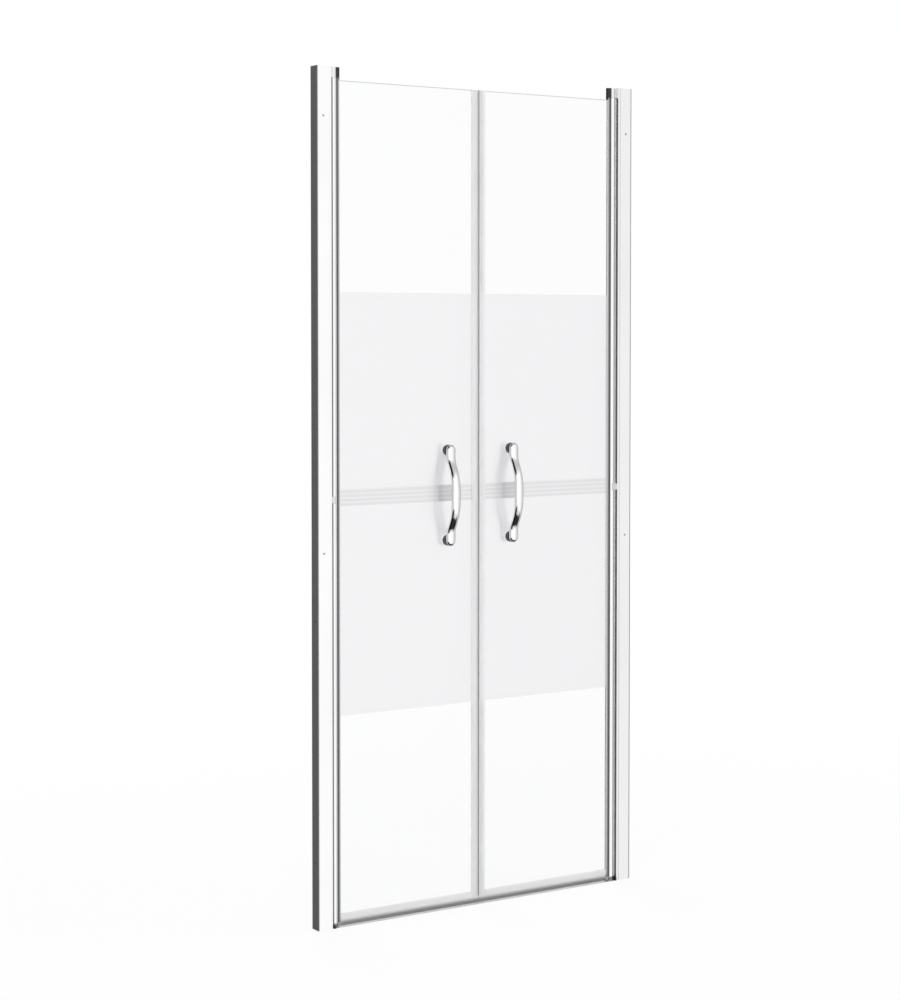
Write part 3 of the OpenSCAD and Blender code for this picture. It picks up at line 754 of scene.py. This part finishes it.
def floor_material(studio):
    """Pale floor that the eye sees mostly as plain background, so that it keeps a faint shadow near the
    door, and only as background from 2.6 m out."""
    made = bpy.data.materials.new("floor")
    tree = Tree(made)
    point = tree.place()
    x, y = point.axis("X"), point.axis("Y")
    away = (x * x + y * y).math("SQRT").rise(0.9, 2.6)
    glow = tree.seen() * (studio.floor_glow + away * (1 - studio.floor_glow))
    matt = tree.add("ShaderNodeBsdfDiffuse", inputs={"Color": colour(studio.floor)})
    plain = tree.add("ShaderNodeEmission", inputs={"Color": colour(studio.white), "Strength": 1.0})
    shader = tree.add("ShaderNodeMixShader", inputs=(glow, matt, plain))
    tree.add("ShaderNodeOutputMaterial", inputs={"Surface": shader})
    return made


# Soft lamps: name, place, point that they face, width, height and power
LAMPS = (
    ("key_lamp", (-2.6, -3.2, 3.4), (0, 0, 0.9), 2.4, 2.4, 105),
    ("fill_lamp", (3.4, -2.2, 2.0), (0, 0, 0.9), 2.2, 2.6, 60),
    ("back_lamp", (0.6, 3.6, 3.0), (0, 0, 1.0), 2.6, 2.2, 70),
)


class SHOWERDOOR_OT_studio(bpy.types.Operator):
    """Floor, background, lamps and camera"""

    bl_idname = "shower_door.studio"
    bl_label = "Studio"

    def execute(self, context):
        scene = context.scene
        studio = scene.shower_door_studio
        studio_world(studio)
        reach = studio.floor_reach
        mesh = bpy.data.meshes.new("floor")
        mesh.from_pydata([(-reach, -reach, 0), (reach, -reach, 0), (reach, reach, 0), (-reach, reach, 0)],
                         [], [(0, 1, 2, 3)])
        mesh.materials.append(floor_material(studio))
        floor = bpy.data.objects.new("floor", mesh)
        scene.collection.objects.link(floor)
        # Metal mirrors the cards in place of the floor and the lamps
        floor.visible_glossy = False
        for name, place, aim, width, height, power in LAMPS:
            lamp = bpy.data.lights.new(name, "AREA")
            lamp.shape = "RECTANGLE"
            lamp.size, lamp.size_y, lamp.energy = width, height, power
            holder = bpy.data.objects.new(name, lamp)
            holder.location = place
            holder.rotation_euler = (Vector(aim) - Vector(place)).to_track_quat("-Z", "Y").to_euler()
            holder.visible_glossy = False
            holder.visible_camera = False
            holder.visible_transmission = False
            scene.collection.objects.link(holder)
        lens = bpy.data.cameras.new("camera")
        lens.lens = studio.lens
        lens.shift_y = studio.shift
        camera = bpy.data.objects.new("camera", lens)
        camera.location = studio.eye
        camera.rotation_euler = Euler((math.pi / 2 - studio.dip, 0, -studio.turn))
        scene.collection.objects.link(camera)
        scene.camera = camera
        scene.view_settings.view_transform = "Standard"
        return {"FINISHED"}


OPERATORS = (
    SHOWERDOOR_OT_profiles,
    SHOWERDOOR_OT_hinges,
    SHOWERDOOR_OT_glass,
    SHOWERDOOR_OT_seals,
    SHOWERDOOR_OT_handles,
    SHOWERDOOR_OT_studio,
)
GROUPS = {
    "shower_door_handle": ShowerDoorHandleSizes,
    "shower_door_finish": ShowerDoorFinish,
    "shower_door_glass": ShowerDoorGlass,
    "shower_door_studio": ShowerDoorStudio,
}


class SHOWERDOOR_PT_panel(bpy.types.Panel):
    """Lists the pieces and their settings"""

    bl_idname = "SHOWERDOOR_PT_panel"
    bl_label = "Shower Door"
    bl_space_type = "VIEW_3D"
    bl_region_type = "UI"
    bl_category = "Shower Door"

    def draw(self, context):
        for operator in OPERATORS:
            self.layout.operator(operator.bl_idname)
        for key, group in GROUPS.items():
            box = self.layout.box()
            box.label(text=group.__doc__)
            for name in group.__annotations__:
                box.prop(getattr(context.scene, key), name)


CLASSES = (*GROUPS.values(), *OPERATORS, SHOWERDOOR_PT_panel)


def register():
    """Registers the classes and gives the scene its groups of settings."""
    for item in CLASSES:
        bpy.utils.register_class(item)
    for key, group in GROUPS.items():
        setattr(bpy.types.Scene, key, bpy.props.PointerProperty(type=group))


def unregister():
    """Takes away what register added."""
    for key in GROUPS:
        delattr(bpy.types.Scene, key)
    for item in reversed(CLASSES):
        bpy.utils.unregister_class(item)


def main():
    """Dresses the CAD pieces, makes the new ones and the studio."""
    register()
    for operator in OPERATORS:
        group, name = operator.bl_idname.split(".")
        if getattr(getattr(bpy.ops, group), name)() != {"FINISHED"}:
            raise RuntimeError(f"{operator.bl_label} was not finished")


if __name__ == "__main__":
    main()
